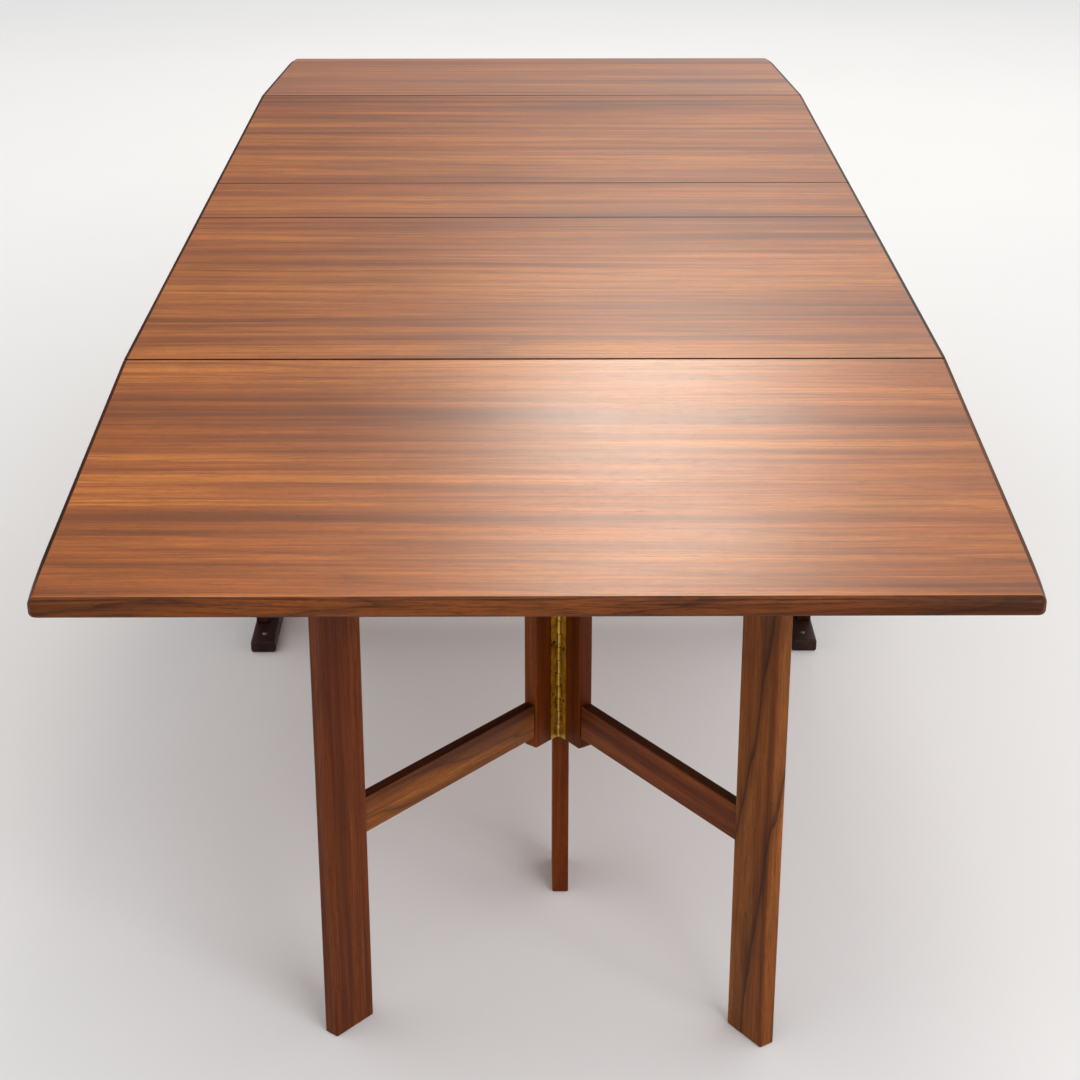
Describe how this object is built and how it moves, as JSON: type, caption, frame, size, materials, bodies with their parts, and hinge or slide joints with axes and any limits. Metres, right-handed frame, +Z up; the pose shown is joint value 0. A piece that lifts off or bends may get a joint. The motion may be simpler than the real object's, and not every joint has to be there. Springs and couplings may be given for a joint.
{
  "type": "drop leaf table",
  "caption": "Long rectangular dining table in teak: narrow trestle centre, hinged inner and outer leaves at both ends, each held by a folding gate with an arm, post and V of two framed legs.",
  "frame": {"origin": "on the floor, under the middle of the top", "axes": "+Z up, +Y along the table's length towards the far end, +X across the table along the centre panel"},
  "size_m": [1.004, 2.78, 0.715],
  "materials": {
    "top_teak": "satin oiled teak veneer",
    "frame_teak": "satin oiled solid teak",
    "dark_teak": "dark stained teak",
    "brass": "aged brass",
    "steel": "plain steel"
  },
  "bodies": {
    "trestle": {"centre_panel": "top_teak", "upper_stretcher": "frame_teak", "lower_stretcher": "frame_teak", "pivot_board": "frame_teak", "near_shoulder_pin": "steel", "far_shoulder_pin": "steel", "end_board_left": "frame_teak", "foot_left": "dark_teak", "end_board_right": "frame_teak", "foot_right": "dark_teak", "near_hinge_left_centre_plate": "brass", "near_hinge_right_centre_plate": "brass", "far_hinge_left_centre_plate": "brass", "far_hinge_right_centre_plate": "brass"},
    "near_inner_leaf_body": {"near_inner_leaf": "top_teak", "near_hinge_left_inner_plate": "brass", "near_hinge_left_middle_plate": "brass", "near_hinge_right_inner_plate": "brass", "near_hinge_right_middle_plate": "brass"},
    "near_outer_leaf_body": {"near_outer_leaf": "top_teak", "near_hinge_left_outer_plate": "brass", "near_hinge_right_outer_plate": "brass"},
    "near_inner_arm_body": {"near_inner_arm": "frame_teak", "near_elbow_bolt": "steel"},
    "near_post_body": {"near_outer_arm": "frame_teak", "near_post": "frame_teak", "near_post_hinge": "brass"},
    "near_left_wing": {"near_left_stile": "frame_teak", "near_left_leg": "frame_teak", "near_left_lower_rail": "frame_teak", "near_left_upper_rail": "frame_teak", "near_left_hinge_leaf": "brass"},
    "near_right_wing": {"near_right_stile": "frame_teak", "near_right_leg": "frame_teak", "near_right_lower_rail": "frame_teak", "near_right_upper_rail": "frame_teak", "near_right_hinge_leaf": "brass"},
    "far_inner_leaf_body": {"far_inner_leaf": "top_teak", "far_hinge_left_inner_plate": "brass", "far_hinge_left_middle_plate": "brass", "far_hinge_right_inner_plate": "brass", "far_hinge_right_middle_plate": "brass"},
    "far_outer_leaf_body": {"far_outer_leaf": "top_teak", "far_hinge_left_outer_plate": "brass", "far_hinge_right_outer_plate": "brass"},
    "far_inner_arm_body": {"far_inner_arm": "frame_teak", "far_elbow_bolt": "steel"},
    "far_post_body": {"far_outer_arm": "frame_teak", "far_post": "frame_teak", "far_post_hinge": "brass"},
    "far_left_wing": {"far_left_stile": "frame_teak", "far_left_leg": "frame_teak", "far_left_lower_rail": "frame_teak", "far_left_upper_rail": "frame_teak", "far_left_hinge_leaf": "brass"},
    "far_right_wing": {"far_right_stile": "frame_teak", "far_right_leg": "frame_teak", "far_right_lower_rail": "frame_teak", "far_right_upper_rail": "frame_teak", "far_right_hinge_leaf": "brass"}
  },
  "joints": [
    {"name": "near_inner_leaf_lift", "type": "hinge", "parent": "trestle", "child": "near_inner_leaf_body", "pos_m": [0, -0.1064, 0.6915], "axis": [-1, 0, 0], "range_deg": [0, 1.5]},
    {"name": "near_outer_leaf_lift", "type": "hinge", "parent": "near_inner_leaf_body", "child": "near_outer_leaf_body", "pos_m": [0, -0.7796, 0.6915], "axis": [-1, 0, 0], "range_deg": [0, 4.4]},
    {"name": "near_gate_shoulder", "type": "hinge", "parent": "trestle", "child": "near_inner_arm_body", "pos_m": [0.032, -0.022, 0.3], "axis": [0, 0, -1], "range_deg": [0, 88]},
    {"name": "near_gate_elbow", "type": "hinge", "parent": "near_inner_arm_body", "child": "near_post_body", "pos_m": [0.032, -0.382, 0.3], "axis": [0, 0, 1], "range_deg": [0, 176]},
    {"name": "near_left_wing_fold", "type": "hinge", "parent": "near_post_body", "child": "near_left_wing", "pos_m": [0.019, -0.8373, 0.3], "axis": [0, 0, -1], "range_deg": [0, 136.79]},
    {"name": "near_right_wing_fold", "type": "hinge", "parent": "near_left_wing", "child": "near_right_wing", "pos_m": [0.029, -0.858, 0.3], "axis": [0, 0, -1], "range_deg": [0, 72.94]},
    {"name": "far_inner_leaf_lift", "type": "hinge", "parent": "trestle", "child": "far_inner_leaf_body", "pos_m": [0, 0.1064, 0.6915], "axis": [1, 0, 0], "range_deg": [0, 1.5]},
    {"name": "far_outer_leaf_lift", "type": "hinge", "parent": "far_inner_leaf_body", "child": "far_outer_leaf_body", "pos_m": [0, 0.7796, 0.6915], "axis": [1, 0, 0], "range_deg": [0, 4.4]},
    {"name": "far_gate_shoulder", "type": "hinge", "parent": "trestle", "child": "far_inner_arm_body", "pos_m": [-0.032, 0.022, 0.3], "axis": [0, 0, -1], "range_deg": [0, 88]},
    {"name": "far_gate_elbow", "type": "hinge", "parent": "far_inner_arm_body", "child": "far_post_body", "pos_m": [-0.032, 0.382, 0.3], "axis": [0, 0, 1], "range_deg": [0, 176]},
    {"name": "far_left_wing_fold", "type": "hinge", "parent": "far_post_body", "child": "far_left_wing", "pos_m": [-0.019, 0.8373, 0.3], "axis": [0, 0, -1], "range_deg": [0, 136.79]},
    {"name": "far_right_wing_fold", "type": "hinge", "parent": "far_left_wing", "child": "far_right_wing", "pos_m": [-0.029, 0.858, 0.3], "axis": [0, 0, -1], "range_deg": [0, 72.94]}
  ],
  "couplings": [
    {"joint": "near_gate_elbow", "follows": "near_gate_shoulder", "ratio": 2},
    {"joint": "near_left_wing_fold", "follows": "near_gate_shoulder", "ratio": 1.5544},
    {"joint": "near_right_wing_fold", "follows": "near_gate_shoulder", "ratio": 0.82889},
    {"joint": "far_gate_elbow", "follows": "far_gate_shoulder", "ratio": 2},
    {"joint": "far_left_wing_fold", "follows": "far_gate_shoulder", "ratio": 1.5544},
    {"joint": "far_right_wing_fold", "follows": "far_gate_shoulder", "ratio": 0.82889}
  ]
}
